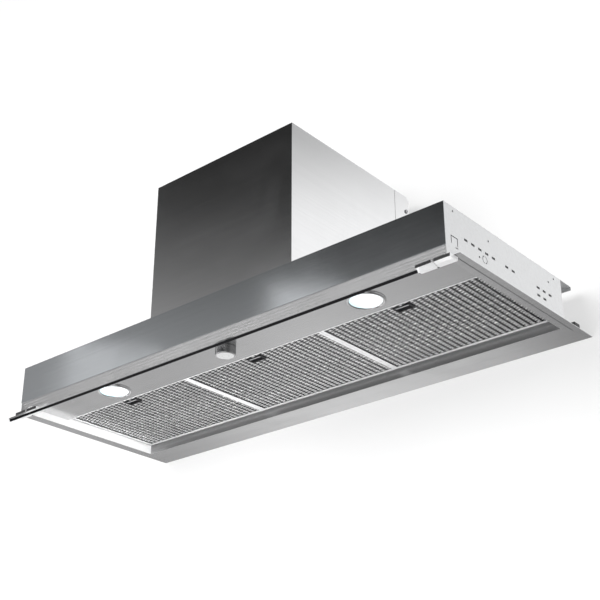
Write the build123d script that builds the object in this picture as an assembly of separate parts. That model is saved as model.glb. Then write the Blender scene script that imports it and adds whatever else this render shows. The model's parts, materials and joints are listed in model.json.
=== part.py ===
"""Built-in range hood with a motor tower, three grease filters and a tilting front visor.

Millimetres. The drawing datum has X along the width with 0 at the middle, Y from the front
fascia (0) to the back and Z up from the underside of the rim flange (0). The parts are written
about SEAT, the middle of the rear band of the rim's upper face, which lies under the cabinet.
"""
from build123d import *
from math import atan2, cos, degrees, hypot, pi, radians, sin
import os

os.makedirs("parts", exist_ok=True)

# ---- driving dimensions -------------------------------------------------------------------
SHEET = 1.0                  # thickness of the folded steel sheets
BODY_HALF = 433.3            # half width over the side panels
BODY_DEPTH = 300.0           # fascia face to back panel
BODY_TOP = 79.0              # top of the canopy above the rim underside
FASCIA_FOOT = 15.2           # lower edge of the front fascia
RIM_HALF = 449.0             # half width of the rim flange
RIM_FRONT = 8.5              # where the rim flange and the front profile's foot begin
RIM_BACK = 352.0             # rear edge of the rim flange
OPENING_HALF = 428.5         # half width of the suction opening
OPENING_BACK = 294.5         # rear edge of the suction opening
SEAT = (0.0, 332.0, SHEET)   # origin of the finished part, on the rim's upper face
RIM_STEP = 1.0               # the inner band of the rim is pressed this much lower
STEP_SIDE = 437.5            # where that band ends at the sides
STEP_BACK = 312.0            # and at the back
UPSTAND_TOP = 15.5           # height of the folded wall around the opening
LEDGE_BACK = 331.0           # the canopy top runs back to here and carries the tower
SPACER_X = (411.0, 432.0)    # rear spacer feet, from the middle
SPACER_Y = (334.0, 349.0)
SPACER_TOP = 24.0
SPACER_SEAT = 0.4            # depth of the pressed seats that the feet stand in

PANEL_Z = 10.4               # underside of the light panel
PANEL_BACK = 96.2            # its rear edge, where the filters begin
LAMP_X = 261.0               # lamps either side of the middle
LAMP_Y = 56.5
LAMP_R = 28.5                # outer radius of the lamp bezel
LENS_R = 23.0
KNOB_Y = 48.0
KNOB_R = 16.0
KNOB_FOOT = -3.5             # lower face of the knob

FILTER_PITCH = 281.7
FILTER_W = 281.0
FILTER_FRONT = 98.5
FILTER_BACK = 289.0
FILTER_Z = 13.5              # underside of the filters
FILTER_T = 8.5
FILTER_RAIL = 4.6            # visible width of a filter's frame
FILTER_PIVOT_Y = 290.4       # where the rear hooks roll on their ledge
FILTER_PIVOT_Z = 17.0
LATCH_Y = 117.0              # centre of the latch pocket
LATCH_W = 26.0
LATCH_D = 12.0

TOWER_HALF = 149.5
TOWER_FRONT = 27.0
TOWER_SEAM = 291.0           # front cover ends, rear cover begins
TOWER_TOP = 340.0
COLLAR_R = 74.5              # outer radius of the duct collar
COLLAR_H = 45.0
COLLAR_Y = 179.0
FAN_Y = 175.0
FAN_Z = 196.0
FAN_R = 78.0
FAN_HALF = 52.0              # half length of the impeller
HOUSING_HALF = 62.0          # half width of the blower housing

VISOR_HALF = 412.0           # half length of the visor plate
VISOR_TIP_Y = -34.0          # middle of its front edge when open
VISOR_TIP_Z = -30.5
VISOR_T = 4.0
HINGE_Y = 6.0                # visor hinge axis
HINGE_Z = -5.0
HINGE_PIN_R = 2.0
CHEEK_T = 3.0
BRACKET_IN = 387.0           # hinge brackets, from the middle
BRACKET_OUT = 441.0

FIT = 0.05                   # running clearance on a radius
GAP = 0.4                    # clearance between parts that move past each other


# ---- helpers ------------------------------------------------------------------------------
def block(x0, x1, y0, y1, z0, z1):
    """A box between two corners."""
    return Pos((x0 + x1) / 2, (y0 + y1) / 2, (z0 + z1) / 2) * Box(x1 - x0, y1 - y0, z1 - z0)


def post(x, y, z0, z1, r):
    """An upright cylinder."""
    return Pos(x, y, (z0 + z1) / 2) * Cylinder(r, z1 - z0)


def rod(x0, x1, y, z, r):
    """A cylinder lying along X."""
    return Pos((x0 + x1) / 2, y, z) * Rot(0, 90, 0) * Cylinder(r, x1 - x0)


def profile(points, x0, x1):
    """A prism along X over an outline given in Y and Z."""
    outline = Polyline(*[(x0, y, z) for y, z in points], close=True)
    return extrude(make_face(outline), amount=x1 - x0, dir=(1, 0, 0))


def save(shape, name):
    """Write one sub-part about the seat."""
    placed = shape.moved(Location((-SEAT[0], -SEAT[1], -SEAT[2])))
    placed.label = name
    export_step(placed, f"parts/{name}.step")


def group(solids):
    """Separate solids that share a node."""
    return Compound(children=list(solids))


# ---- canopy -------------------------------------------------------------------------------
AIR_HALF_X = 118.0           # opening from the canopy into the tower
AIR_FRONT = 62.0
AIR_BACK = 282.0
GLAND_X = 215.0
GLAND_Y = 150.0
GLAND_R = 8.0


def canopy_top():
    """Top sheet with its rear ledge, the air opening and the hole for the cable gland."""
    sheet = block(-BODY_HALF, BODY_HALF, SHEET, LEDGE_BACK, BODY_TOP - SHEET, BODY_TOP)
    lip = block(-BODY_HALF, BODY_HALF, LEDGE_BACK - SHEET, LEDGE_BACK, BODY_TOP - 6, BODY_TOP - SHEET)
    air = block(-AIR_HALF_X, AIR_HALF_X, AIR_FRONT, AIR_BACK, BODY_TOP - 2, BODY_TOP + 1)
    return sheet + lip - air - post(GLAND_X, GLAND_Y, BODY_TOP - 2, BODY_TOP + 1, GLAND_R)


def front_fascia():
    """Front sheet with its folded lower return."""
    face = block(-BODY_HALF, BODY_HALF, 0, SHEET, FASCIA_FOOT, BODY_TOP)
    fold = block(-BODY_HALF + SHEET, BODY_HALF - SHEET, SHEET, 7.0, FASCIA_FOOT + 2, FASCIA_FOOT + 3)
    return face + fold


SLOT_LEN = 8.0
SLOT_H = 3.5
SLOT_ROW_Z = 40.0
SLOT_ROW_Y = [48.4 + 16.7 * i for i in range(8) if i != 5]
CLUSTER_Y = [231.5 + 16.5 * i for i in range(3)]
LOWER_ROW_Z = 28.0
KNOCKOUT = (93.0, 29.0, 6.0)         # Y, Z and radius of the round knock-out
PIN_HOLES = [(21, 72), (105, 62), (263, 61), (279.5, 72), (80, 28)]
TAB_FRONT, TAB_BACK, TAB_FOOT, TAB_HEAD = 13.0, 29.0, 22.0, 34.0


def side_cutters(x0, x1):
    """Everything punched through a side panel."""
    slots = [(y, SLOT_ROW_Z) for y in SLOT_ROW_Y + CLUSTER_Y]
    slots += [(y, LOWER_ROW_Z) for y in CLUSTER_Y[:2]]
    cut = [block(x0, x1, y - SLOT_LEN / 2, y + SLOT_LEN / 2, z - SLOT_H / 2, z + SLOT_H / 2) for y, z in slots]
    cut += [rod(x0, x1, y, z, 1.6) for y, z in PIN_HOLES]
    y, z, r = KNOCKOUT
    ring = rod(x0, x1, y, z, r) - rod(x0, x1, y, z, r - 1.2)
    cut.append(ring - block(x0, x1, y - 1, y + 1, z - r - 1, z + r + 1))
    cut.append(block(x0, x1, TAB_FRONT, TAB_FRONT + 1.5, TAB_FOOT, TAB_HEAD))
    cut.append(block(x0, x1, TAB_BACK - 1.5, TAB_BACK, TAB_FOOT, TAB_HEAD))
    cut.append(block(x0, x1, TAB_FRONT, TAB_BACK, TAB_HEAD - 1.5, TAB_HEAD))
    cut.append(block(x0, x1, TAB_BACK - 6, TAB_BACK, 18.0, 19.5))
    return cut


def side_panel(side):
    """Galvanised side panel, punched for brackets, filters of other sizes and cables."""
    x_in, x_out = BODY_HALF - SHEET, BODY_HALF
    panel = block(x_in, x_out, SHEET, BODY_DEPTH, SHEET, BODY_TOP - SHEET)
    for cutter in side_cutters(x_in - 1, x_out + 1):
        panel -= cutter
    return panel if side > 0 else mirror(panel, about=Plane.YZ)


def back_panel():
    """Rear wall of the canopy."""
    inner = BODY_HALF - SHEET
    return block(-inner, inner, BODY_DEPTH - SHEET, BODY_DEPTH, SHEET, BODY_TOP - SHEET)


RIB_COUNT = 3
RIB_H = 0.7
END_SLOT_X = 418.0           # slot near each end of the front profile
END_SLOT_LEN = 15.0
END_SLOT_Z = (2.5, 6.2)


def front_profile():
    """Aluminium extrusion that slopes from the fascia's foot back to the rim, with fine ribs."""
    length = hypot(RIM_FRONT, FASCIA_FOOT)
    along = (RIM_FRONT / length, -FASCIA_FOOT / length)
    out = (-FASCIA_FOOT / length, -RIM_FRONT / length)

    def at(s, n):
        return (s * along[0] + n * out[0], FASCIA_FOOT + s * along[1] + n * out[1])

    wall = 1.6
    outer = [at(0.4, -wall), at(0.4, -0.9)]
    pitch = length / (RIB_COUNT + 1)
    for i in range(RIB_COUNT + 1):
        start = i * pitch
        outer += [at(start + 0.4, -0.9), at(start + 0.9, -0.9 + RIB_H), at(start + pitch - 0.9, -0.9 + RIB_H)]
        outer += [at(start + pitch - 0.4, -0.9)]
    outer = outer[:1] + outer[2:]
    outer.append(at(length - 0.4, -wall))
    half = BODY_HALF - SHEET - 0.1
    strip = profile(outer, -half, half) & block(-half, half, 0, RIM_FRONT, -1, FASCIA_FOOT)
    for side in (-1, 1):
        middle = side * END_SLOT_X
        strip -= block(middle - END_SLOT_LEN / 2, middle + END_SLOT_LEN / 2, -2.0, 12.0, *END_SLOT_Z)
    return strip


def rim_frame():
    """Rim flange on three sides of the opening, with its pressed step and folded walls."""
    z_out = (0.0, SHEET)
    z_in = (-RIM_STEP, SHEET - RIM_STEP)
    flange = block(-RIM_HALF, RIM_HALF, RIM_FRONT, RIM_BACK, *z_out)
    flange -= block(-STEP_SIDE, STEP_SIDE, RIM_FRONT - 1, STEP_BACK, -1, 2)
    band = block(-STEP_SIDE - SHEET, STEP_SIDE + SHEET, RIM_FRONT, STEP_BACK + SHEET, *z_in)
    band += block(-STEP_SIDE - SHEET, STEP_SIDE + SHEET, RIM_FRONT, STEP_BACK + SHEET, *z_out)
    band -= block(-STEP_SIDE, STEP_SIDE, RIM_FRONT - 1, STEP_BACK, 0, 2)
    walls = block(-OPENING_HALF - SHEET, OPENING_HALF + SHEET, RIM_FRONT, OPENING_BACK + SHEET, 0, UPSTAND_TOP)
    opening = block(-OPENING_HALF, OPENING_HALF, RIM_FRONT - 1, OPENING_BACK, -3, UPSTAND_TOP + 1)
    seat = block(SPACER_X[0] - GAP, SPACER_X[1] + GAP, SPACER_Y[0] - GAP, SPACER_Y[1] + GAP, SHEET - SPACER_SEAT, 2)
    return flange + band + walls - opening - seat - mirror(seat, about=Plane.YZ)


def filter_rear_ledge():
    """Angle on which the filters' rear hooks rest."""
    half = OPENING_HALF - 1
    foot = block(-half, half, FILTER_PIVOT_Y + 0.4, OPENING_BACK, FILTER_PIVOT_Z - 1.3, FILTER_PIVOT_Z - 0.3)
    web = block(-half, half, OPENING_BACK - SHEET, OPENING_BACK, FILTER_PIVOT_Z - 0.3, 26.0)
    return foot + web


def rear_spacers():
    """Two plastic feet that stand in the rim's pressed seats and keep the canopy off the wall."""
    wall = 3.0
    foot = block(*SPACER_X, *SPACER_Y, SHEET - SPACER_SEAT, SPACER_TOP)
    foot -= block(SPACER_X[0] + wall, SPACER_X[1] - wall, SPACER_Y[0] - 1, SPACER_Y[1] - wall,
                  SHEET + wall, SPACER_TOP - wall)
    return group([foot, mirror(foot, about=Plane.YZ)])


# ---- light panel --------------------------------------------------------------------------
SWITCH_R = 4.0
PANEL_HALF = 427.4


def light_panel():
    """Panel that holds the lamps and the switch, folded up at the front and the back."""
    z0, z1 = PANEL_Z, PANEL_Z + SHEET
    front = RIM_FRONT + 1.1
    panel = block(-PANEL_HALF, PANEL_HALF, front, PANEL_BACK, z0, z1)
    panel += block(-PANEL_HALF, PANEL_HALF, front, front + SHEET, z1, 16.0)
    panel += block(-PANEL_HALF, PANEL_HALF, PANEL_BACK - SHEET, PANEL_BACK, z1, 26.0)
    for side in (-1, 1):
        panel -= post(side * LAMP_X, LAMP_Y, z0 - 1, z1 + 1, LAMP_R - 3)
    panel -= post(0, KNOB_Y, z0 - 1, z1 + 1, SWITCH_R + 1)
    return panel


def lamp_bezel(x):
    """Turned ring under the panel with a sleeve through it."""
    face = post(x, LAMP_Y, PANEL_Z - 2.5, PANEL_Z, LAMP_R)
    face = chamfer(face.faces().sort_by(Axis.Z)[0].outer_wire().edges(), 1.5)
    sleeve = post(x, LAMP_Y, PANEL_Z, PANEL_Z + 8, LAMP_R - 3)
    return face + sleeve - post(x, LAMP_Y, PANEL_Z - 4, PANEL_Z + 9, LENS_R)


def lamp_lens(x):
    """Frosted glass disc in the bezel."""
    return post(x, LAMP_Y, PANEL_Z - 1.6, PANEL_Z + 1.4, LENS_R - 0.02)


def lamp_housing(x):
    """Aluminium can with the light source, above the panel."""
    can = post(x, LAMP_Y, PANEL_Z + 8, PANEL_Z + 34, LAMP_R - 3)
    return can - post(x, LAMP_Y, PANEL_Z + 7, PANEL_Z + 31, LENS_R - 1)


def control_knob():
    """Round knob with a pointer groove and a blind bore for the switch spindle."""
    knob = post(0, KNOB_Y, KNOB_FOOT, PANEL_Z - GAP, KNOB_R)
    knob = fillet(knob.faces().sort_by(Axis.Z)[0].edges(), 1.0)
    knob -= post(0, KNOB_Y, 1.0, PANEL_Z, SWITCH_R - 1.0)
    return knob - block(-0.6, 0.6, KNOB_Y - KNOB_R - 1, KNOB_Y - KNOB_R + 1.2, -2.0, PANEL_Z)


def switch_spindle():
    """Spindle pressed into the knob and turning in the switch."""
    return post(0, KNOB_Y, 1.0, PANEL_Z + 14, SWITCH_R - 1.0)


def rotary_switch():
    """Speed and light switch on top of the panel."""
    case = block(-17, 17, KNOB_Y - 17, KNOB_Y + 17, PANEL_Z + SHEET, PANEL_Z + 20)
    return case - post(0, KNOB_Y, PANEL_Z, PANEL_Z + 14.5, SWITCH_R - 1.0 + FIT)


# ---- grease filters -----------------------------------------------------------------------
POCKET_WALL = 1.2
HOOK_W = 22.0
MESH_SHEET = 0.9             # thickness of the upper and lower mesh sheets
MESH_WEB = 1.0
MESH_BAYS = 6


def pocket_box(x, grow, z0, z1):
    """A block over the latch pocket, grown on every side."""
    half, deep = LATCH_W / 2 + grow, LATCH_D / 2 + grow
    return block(x - half, x + half, LATCH_Y - deep, LATCH_Y + deep, z0, z1)


def filter_frame(x):
    """Folded aluminium frame with two rear hooks."""
    half = FILTER_W / 2
    z0, z1 = FILTER_Z, FILTER_Z + FILTER_T
    frame = block(x - half, x + half, FILTER_FRONT, FILTER_BACK, z0, z1)
    edge = FILTER_RAIL
    frame -= block(x - half + edge, x + half - edge, FILTER_FRONT + edge, FILTER_BACK - edge, z0 - 1, z1 + 1)
    inner = (x - half + 0.8, x + half - 0.8, FILTER_FRONT + 0.8, FILTER_BACK - 0.8)
    frame -= block(*inner, z0 + 0.8, z1 - 0.8)
    for side in (-1, 1):
        middle = x + side * 100.0
        frame += block(middle - HOOK_W / 2, middle + HOOK_W / 2, FILTER_BACK - 0.8, FILTER_PIVOT_Y + 2.1,
                       FILTER_PIVOT_Z, FILTER_PIVOT_Z + 1.0)
    tongue = block(x - 7 - GAP, x + 7 + GAP, FILTER_FRONT - 1, FILTER_FRONT + 3, z0 + 2.6, z0 + 5.4)
    return frame - tongue


def filter_mesh(x):
    """Expanded aluminium sheets above and below a row of webs, cut out around the latch pocket."""
    half = FILTER_W / 2 - 0.9
    y0, y1 = FILTER_FRONT + 0.9, FILTER_BACK - 0.9
    z0, z1 = FILTER_Z + 0.9, FILTER_Z + FILTER_T - 0.9
    pack = block(x - half, x + half, y0, y1, z0, z1)
    bay = (2 * half - (MESH_BAYS + 1) * MESH_WEB) / MESH_BAYS
    for i in range(MESH_BAYS):
        x0 = x - half + MESH_WEB + i * (bay + MESH_WEB)
        pack -= block(x0, x0 + bay, y0 - 1, y1 + 1, z0 + MESH_SHEET, z1 - MESH_SHEET)
    lane = block(x - 9, x + 9, FILTER_FRONT - 1, LATCH_Y, FILTER_Z + 2.0, FILTER_Z + 6.0)
    return pack - pocket_box(x, POCKET_WALL + 0.1, FILTER_Z - 1, FILTER_Z + FILTER_T + 1) - lane


def latch_pocket(x):
    """Black finger cup let into the mesh."""
    cup = pocket_box(x, POCKET_WALL, FILTER_Z - 0.4, FILTER_Z + FILTER_T - 1.0)
    cup -= pocket_box(x, 0, FILTER_Z - 1, FILTER_Z + FILTER_T - 2.2)
    return cup - block(x - 7 - GAP, x + 7 + GAP, LATCH_Y - 10, LATCH_Y, FILTER_Z + 2.6, FILTER_Z + 5.4)


def filter_latch(x):
    """Sliding tongue with its finger grip."""
    front = LATCH_Y - LATCH_D / 2
    tongue = block(x - 7, x + 7, FILTER_FRONT - 1.7, front + 3.5, FILTER_Z + 3.0, FILTER_Z + 5.0)
    grip = block(x - 11, x + 11, front + 1.0, front + 3.5, FILTER_Z + 0.2, FILTER_Z + 5.0)
    return tongue + grip


def latch_spring(x):
    """Leaf spring that pushes the grip forward."""
    z0, z1 = FILTER_Z + 3.4, FILTER_Z + 4.6
    back = LATCH_Y + LATCH_D / 2
    front = LATCH_Y - LATCH_D / 2 + 3.6
    points = [(x - 9, back - 0.1), (x, front + 0.1), (x + 9, back - 0.1)]
    points += [(x + 8.4, back - 0.1), (x, front + 0.6), (x - 8.4, back - 0.1)]
    outline = Polyline(*[(px, py, z0) for px, py in points], close=True)
    return extrude(make_face(outline), amount=z1 - z0, dir=(0, 0, 1))


# ---- motor tower --------------------------------------------------------------------------
FLAP_Z = TOWER_TOP + 12.0    # height of the pin that the damper flaps swing on
FLAP_PIN_R = 1.5
FLAP_T = 1.4
FLAP_OFFSET = 3.2            # from the pin's middle to the flap's straight edge
SCREW_R = 1.6
SCREW_Y = 323.0
SCREW_ZS = (110.0, 311.0)


def tower_front_cover():
    """Front and sides of the tower in one folded sheet."""
    outer = block(-TOWER_HALF, TOWER_HALF, TOWER_FRONT, TOWER_SEAM, BODY_TOP, TOWER_TOP)
    inner = TOWER_HALF - SHEET
    return outer - block(-inner, inner, TOWER_FRONT + SHEET, TOWER_SEAM + 1, BODY_TOP - 1, TOWER_TOP + 1)


def tower_rear_cover():
    """Back of the tower, folded round to meet the front cover at the side seams."""
    outer = block(-TOWER_HALF, TOWER_HALF, TOWER_SEAM + 0.6, LEDGE_BACK, BODY_TOP, TOWER_TOP)
    inner = TOWER_HALF - SHEET
    cover = outer - block(-inner, inner, TOWER_SEAM, LEDGE_BACK - SHEET, BODY_TOP - 1, TOWER_TOP + 1)
    corner = [(LEDGE_BACK - 9, TOWER_TOP + 1), (LEDGE_BACK + 1, TOWER_TOP + 1), (LEDGE_BACK + 1, TOWER_TOP - 7)]
    cover -= profile(corner, -TOWER_HALF - 1, TOWER_HALF + 1)
    for side in (-1, 1):
        for z in SCREW_ZS:
            cover -= rod(side * TOWER_HALF - 3, side * TOWER_HALF + 3, SCREW_Y, z, SCREW_R)
    return cover


def tower_frame():
    """Two inner uprights that the rear cover is screwed to."""
    uprights = []
    for side in (-1, 1):
        x1 = TOWER_HALF - SHEET
        leg = block(x1 - SHEET, x1, SCREW_Y - 12, SCREW_Y + 5, BODY_TOP, TOWER_TOP - 6)
        leg += block(x1 - 14, x1 - SHEET, SCREW_Y - 12, SCREW_Y - 11, BODY_TOP, TOWER_TOP - 6)
        for z in SCREW_ZS:
            leg -= rod(x1 - 4, x1 + 2, SCREW_Y, z, SCREW_R)
        uprights.append(leg if side > 0 else mirror(leg, about=Plane.YZ))
    return group(uprights)


def tower_screws():
    """Pan-head screws in the sides of the rear cover."""
    screws = []
    for side in (-1, 1):
        for z in SCREW_ZS:
            head = rod(TOWER_HALF, TOWER_HALF + 2.0, SCREW_Y, z, 3.6)
            head = fillet(head.faces().sort_by(Axis.X)[-1].edges(), 1.0)
            head -= block(TOWER_HALF + 1.2, TOWER_HALF + 3, SCREW_Y - 2.2, SCREW_Y + 2.2, z - 0.4, z + 0.4)
            head -= block(TOWER_HALF + 1.2, TOWER_HALF + 3, SCREW_Y - 0.4, SCREW_Y + 0.4, z - 2.2, z + 2.2)
            screw = head + rod(TOWER_HALF - 6, TOWER_HALF, SCREW_Y, z, SCREW_R - 0.02)
            screws.append(screw if side > 0 else mirror(screw, about=Plane.YZ))
    return group(screws)


def tower_top_plate():
    """Lid of the tower with the blower's outlet."""
    half = TOWER_HALF - SHEET - 0.05
    lid = block(-half, half, TOWER_FRONT + SHEET + 0.05, LEDGE_BACK - SHEET - 4, TOWER_TOP - SHEET, TOWER_TOP)
    return lid - post(0, COLLAR_Y, TOWER_TOP - 3, TOWER_TOP + 1, COLLAR_R - 3.5)


def duct_collar():
    """Plastic collar that the duct pushes over."""
    top = TOWER_TOP + COLLAR_H
    flange = post(0, COLLAR_Y, TOWER_TOP, TOWER_TOP + 3, COLLAR_R + 14)
    tube = post(0, COLLAR_Y, TOWER_TOP, top, COLLAR_R)
    bore = post(0, COLLAR_Y, TOWER_TOP - 1, top + 1, COLLAR_R - 2.5)
    collar = flange + tube - bore
    for side in (-1, 1):
        x0, x1 = sorted((side * (COLLAR_R - 3.5), side * (COLLAR_R + 1)))
        collar -= rod(x0, x1, COLLAR_Y, FLAP_Z, FLAP_PIN_R)
    return collar


def flap_pin():
    """Steel pin across the collar that both flaps swing on."""
    return rod(-COLLAR_R + 1.0, COLLAR_R - 1.0, COLLAR_Y, FLAP_Z, FLAP_PIN_R - 0.02)


def damper_flap(side):
    """Half-round non-return flap, shut on the collar's seat."""
    radius = COLLAR_R - 2.5 - 0.8
    disc = post(0, COLLAR_Y, FLAP_Z - FLAP_T / 2, FLAP_Z + FLAP_T / 2, radius)
    near, far = sorted((side * FLAP_OFFSET, side * 100))
    half = disc & (Pos(0, COLLAR_Y, FLAP_Z) * block(-100, 100, near, far, -10, 10))
    spans = [(-52, -30), (10, 28)] if side > 0 else [(-28, -10), (30, 52)]
    for x0, x1 in spans:
        knuckle = rod(x0, x1, COLLAR_Y, FLAP_Z, FLAP_PIN_R + 1.1)
        arm_y0, arm_y1 = sorted((COLLAR_Y, COLLAR_Y + side * 5))
        knuckle += block(x0, x1, arm_y0, arm_y1, FLAP_Z - FLAP_T / 2, FLAP_Z + FLAP_T / 2)
        half += knuckle - rod(x0 - 1, x1 + 1, COLLAR_Y, FLAP_Z, FLAP_PIN_R + FIT)
    return half


# ---- blower -------------------------------------------------------------------------------
SCROLL_START = 96.0
SCROLL_GROWTH = 17.0
CUTOFF_ANGLE = 42.0
SWEEP = 222.0                # from the cut-off round the bottom to the outlet's far side
OUTLET_TOP = TOWER_TOP - 5.0
OUTLET_BACK = 66.0


def scroll_outline(inset):
    """Closed outline of the blower scroll in Y and Z, moved inwards by the inset."""
    points = []
    steps = 12
    for i in range(steps + 1):
        share = i / steps
        angle = radians(CUTOFF_ANGLE - SWEEP * share)
        radius = SCROLL_START + SCROLL_GROWTH * share - inset
        points.append((0, FAN_Y + radius * cos(angle), FAN_Z + radius * sin(angle)))
    curve = Spline(*points)
    left = (0, COLLAR_Y - OUTLET_BACK + inset, OUTLET_TOP)
    right = (0, COLLAR_Y + OUTLET_BACK - inset, OUTLET_TOP)
    walls = Polyline(points[-1], left, right, points[0])
    return make_face(Curve() + [curve, walls])


def blower_scroll():
    """Wrap of the blower housing."""
    wide = HOUSING_HALF
    outer = extrude(scroll_outline(0), amount=2 * wide, dir=(1, 0, 0))
    inner = extrude(scroll_outline(1.2), amount=2 * wide + 2, dir=(1, 0, 0))
    wrap = Pos(-wide, 0, 0) * outer - Pos(-wide - 1, 0, 0) * inner
    hole = block(-wide - 1, wide + 1, COLLAR_Y - OUTLET_BACK + 3, COLLAR_Y + OUTLET_BACK - 3, OUTLET_TOP - 3,
                 OUTLET_TOP + 3)
    return wrap - hole


def blower_side(side):
    """Side wall of the blower with its air inlet."""
    wall = extrude(scroll_outline(0), amount=1.2, dir=(1, 0, 0))
    wall = Pos(HOUSING_HALF, 0, 0) * wall
    wall -= rod(HOUSING_HALF - 1, HOUSING_HALF + 3, FAN_Y, FAN_Z, FAN_R - 10)
    lip = rod(HOUSING_HALF + 1.2, HOUSING_HALF + 6, FAN_Y, FAN_Z, FAN_R - 8)
    wall += lip - rod(HOUSING_HALF, HOUSING_HALF + 7, FAN_Y, FAN_Z, FAN_R - 10)
    return wall if side > 0 else mirror(wall, about=Plane.YZ)


BLADES = 32
SHAFT_R = 5.0


def impeller():
    """Double-inlet squirrel-cage wheel."""
    plane = Plane.YZ
    web = Pos(-1.5, FAN_Y, FAN_Z) * extrude(plane * Circle(FAN_R), 3)
    blades = Sketch() + PolarLocations(FAN_R - 8, BLADES) * (Rot(0, 0, 35) * Rectangle(17, 1.2))
    cage = Pos(-FAN_HALF, FAN_Y, FAN_Z) * extrude(plane * blades, 2 * FAN_HALF)
    ring = plane * (Circle(FAN_R + 0.5) - Circle(FAN_R - 6))
    rings = Pos(-FAN_HALF, FAN_Y, FAN_Z) * extrude(ring, 3)
    rings += Pos(FAN_HALF - 3, FAN_Y, FAN_Z) * extrude(ring, 3)
    hub = rod(-22, -1, FAN_Y, FAN_Z, 12)
    return web + cage + rings + hub - rod(-30, 5, FAN_Y, FAN_Z, SHAFT_R)


def motor_shaft():
    """Steel shaft, pressed into the hub and turning in the motor."""
    return rod(-21, 24, FAN_Y, FAN_Z, SHAFT_R)


def fan_motor():
    """Motor can inside the right inlet."""
    can = rod(4, 60, FAN_Y, FAN_Z, 44)
    can = fillet(can.faces().sort_by(Axis.X)[0].edges(), 6)
    return can - rod(3, 25, FAN_Y, FAN_Z, SHAFT_R + FIT)


def motor_bracket():
    """Spider that carries the motor in the inlet."""
    x0, x1 = HOUSING_HALF + 6, HOUSING_HALF + 9
    ring = rod(x0, x1, FAN_Y, FAN_Z, FAN_R - 8) - rod(x0 - 1, x1 + 1, FAN_Y, FAN_Z, FAN_R - 12)
    hub = rod(60, x1, FAN_Y, FAN_Z, 24)
    for i in range(3):
        arm = block(x0, x1, -5, 5, 18, FAN_R - 10)
        ring += Pos(0, FAN_Y, FAN_Z) * Rot(120 * i, 0, 0) * arm
    return ring + hub


def motor_capacitor():
    """Run capacitor standing on the canopy top inside the tower."""
    return fillet(post(-128, 60, BODY_TOP, BODY_TOP + 70, 16).faces().sort_by(Axis.Z)[-1].edges(), 2)


# ---- electrics ----------------------------------------------------------------------------
def terminal_box():
    """Mains terminal box under the canopy top."""
    box = block(150, 270, 118, 190, 44, BODY_TOP - SHEET)
    return box - block(152, 268, 120, 188, 46, BODY_TOP) - post(GLAND_X, GLAND_Y, 70, 90, GLAND_R)


def cable_gland():
    """Inlet for the mains cable, with its nut and a clear bore."""
    nut = extrude(RegularPolygon(13, 6), 6)
    body = Pos(GLAND_X, GLAND_Y, BODY_TOP) * nut + post(GLAND_X, GLAND_Y, BODY_TOP + 6, BODY_TOP + 17, 9.5)
    body += post(GLAND_X, GLAND_Y, BODY_TOP - 8, BODY_TOP, GLAND_R - 0.05)
    return body - post(GLAND_X, GLAND_Y, BODY_TOP - 9, BODY_TOP + 18, 4.2)


def lamp_driver():
    """Electronic supply for the lamps, screwed under the canopy top."""
    return fillet(block(-270, -150, 118, 168, 52, BODY_TOP - SHEET).edges().filter_by(Axis.Z), 3)


# ---- visor --------------------------------------------------------------------------------
REACH = hypot(HINGE_Y - VISOR_TIP_Y, HINGE_Z - VISOR_TIP_Z)
DROOP = degrees(atan2(HINGE_Z - VISOR_TIP_Z, HINGE_Y - VISOR_TIP_Y))


def tilted(shape):
    """Turn a piece drawn level, with the hinge at the origin, down to the open visor's slope."""
    return Pos(0, HINGE_Y, HINGE_Z) * Rot(DROOP, 0, 0) * shape


def visor_plate():
    """Dark glass strip that catches the steam, with rounded long edges."""
    half = VISOR_HALF - 0.1
    plate = block(-half, half, -REACH, -13.0, -VISOR_T / 2, VISOR_T / 2)
    return tilted(fillet(plate.edges().filter_by(Axis.X), 0.8))


def visor_cheek(side):
    """Aluminium end piece that carries the glass and turns on the hinge pin."""
    eye = rod(0, CHEEK_T, 0, 0, 4.6)
    arm = profile([(-REACH - 1, -2.6), (-REACH - 1, 4.4), (-8.0, 4.4), (0.0, 4.4), (0.0, -2.6)], 0, CHEEK_T)
    cheek = Pos(VISOR_HALF, 0, 0) * (arm + eye - rod(-1, CHEEK_T + 1, 0, 0, HINGE_PIN_R + FIT))
    cheek = tilted(cheek)
    return cheek if side > 0 else mirror(cheek, about=Plane.YZ)


def hinge_bracket(side):
    """Fixed fork under the front profile that holds the hinge pin."""
    outline = [(-3.5, -1.4), (-3.5, -6.0), (1.0, -8.6), (11.0, -8.6), (14.5, -6.0), (14.5, -1.4)]
    fork = profile(outline, BRACKET_IN, BRACKET_OUT)
    fork -= block(VISOR_HALF - GAP, VISOR_HALF + CHEEK_T + GAP, -20, 11.4, -20, 5)
    fork -= rod(BRACKET_IN - 1, BRACKET_OUT - 6, HINGE_Y, HINGE_Z, HINGE_PIN_R)
    return fork if side > 0 else mirror(fork, about=Plane.YZ)


def hinge_pins():
    """Steel pins through the forks and the cheeks."""
    pin = rod(BRACKET_IN + 2, BRACKET_OUT - 6, HINGE_Y, HINGE_Z, HINGE_PIN_R)
    return group([pin, mirror(pin, about=Plane.YZ)])


# ---- writing the parts --------------------------------------------------------------------
SIDES = {"left": -1, "right": 1}
PLACES = {"left": -FILTER_PITCH, "centre": 0.0, "right": FILTER_PITCH}

for make in (canopy_top, front_fascia, back_panel, front_profile, rim_frame, filter_rear_ledge, light_panel,
             control_knob, switch_spindle, rotary_switch, tower_front_cover, tower_rear_cover, tower_frame,
             tower_screws, tower_top_plate, duct_collar, flap_pin, blower_scroll, impeller, motor_shaft,
             fan_motor, motor_bracket, motor_capacitor, terminal_box, cable_gland, lamp_driver, rear_spacers,
             visor_plate, hinge_pins):
    save(make(), make.__name__)

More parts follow.
